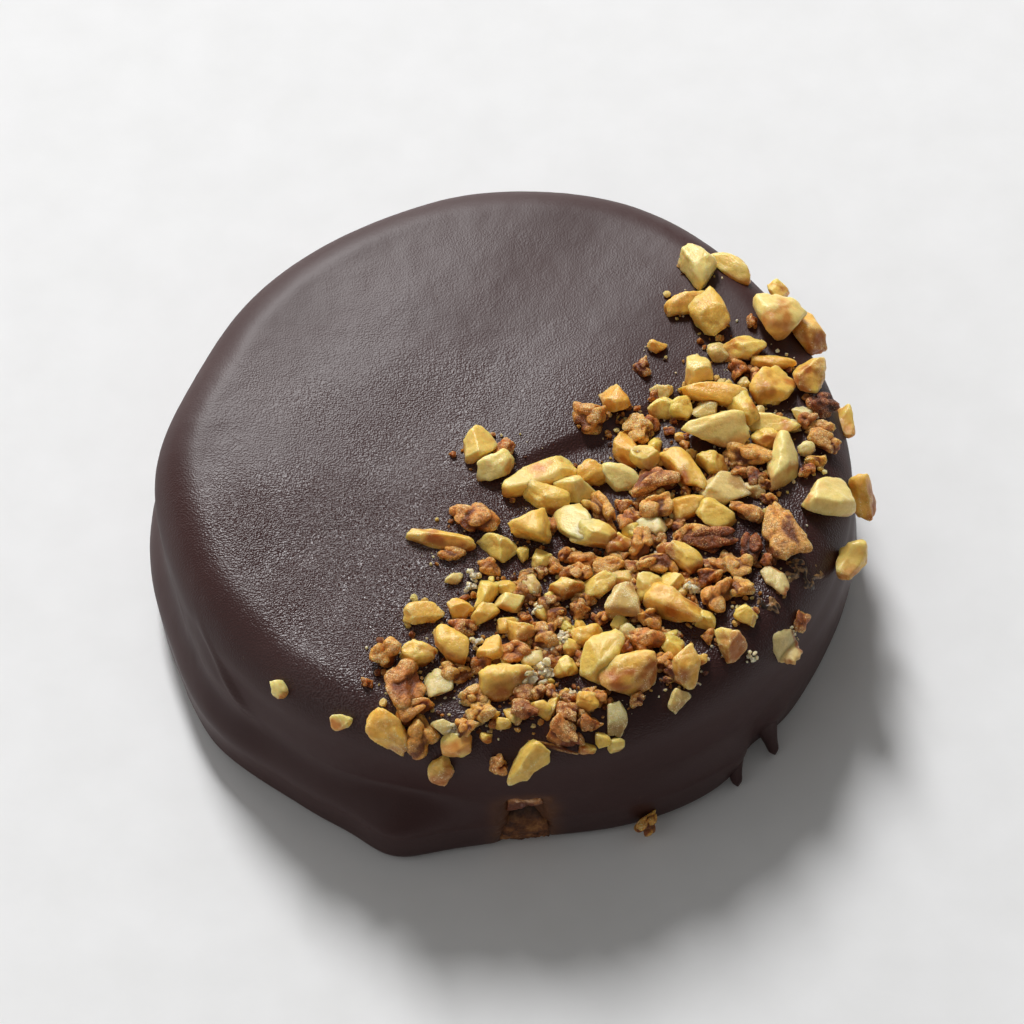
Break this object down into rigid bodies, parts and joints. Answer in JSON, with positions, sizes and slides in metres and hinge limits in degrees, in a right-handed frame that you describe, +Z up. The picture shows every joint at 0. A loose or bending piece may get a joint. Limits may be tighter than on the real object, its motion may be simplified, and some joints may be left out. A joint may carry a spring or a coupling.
{
  "type": "alfajor",
  "caption": "Round sandwich biscuit in a dark chocolate coat, one side of its top strewn with chopped roasted nuts; a bare spot low in the front wall shows the layers.",
  "frame": {"origin": "on the flat base under the middle of the round, where the alfajor stands", "axes": "+Z up out of the top, -Y towards the bare spot, +X to the right when the bare spot faces the viewer"},
  "size_m": [0.0661, 0.0662, 0.0189],
  "materials": {
    "dark_chocolate": "satin dark chocolate with fine bumps; the nuts fused on it are golden to brown",
    "baked_biscuit": "dry, open baked crumb",
    "caramel_filling": "soft, dull caramel"
  },
  "bodies": {
    "root": {"coat": "dark_chocolate", "biscuit": "baked_biscuit", "filling": "caramel_filling"}
  },
  "joints": []
}
